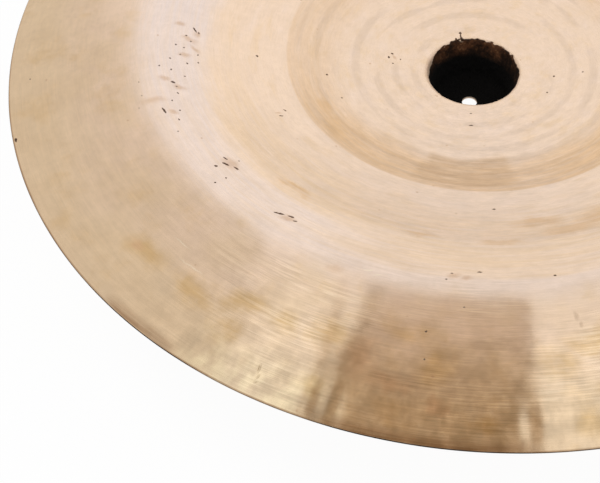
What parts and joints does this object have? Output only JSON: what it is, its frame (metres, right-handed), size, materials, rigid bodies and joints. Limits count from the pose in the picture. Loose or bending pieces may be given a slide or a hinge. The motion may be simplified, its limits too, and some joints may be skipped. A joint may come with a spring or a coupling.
{
  "type": "china cymbal",
  "caption": "Hammered and lathed bronze china cymbal with a deep raw bell, a dished bow and a wide turned-back flange, lying hollow side up on its bell.",
  "frame": {"origin": "centre of the stand hole on the outer face of the bell's crown, the lowest plane of the cymbal", "axes": "+Z along the cymbal's axis of turning, out of the bell's mouth, so the hollow side faces up; X and Y lie in the plane of the crown and are free, because the plate is turned"},
  "size_m": [0.5589, 0.559, 0.073],
  "materials": {
    "raw_bronze": "raw cast and forged skin, dark brown fire scale",
    "lathed_bronze": "lathed, fine concentric lines, satin",
    "bend_bronze": "lathed and hammered, pale, with pits of scale",
    "flange_bronze": "hammered and finely lathed, half bright"
  },
  "bodies": {
    "root": {"bell": "raw_bronze", "inner_bow": "lathed_bronze", "outer_bow": "lathed_bronze", "bend": "bend_bronze", "flange": "flange_bronze"}
  },
  "joints": []
}
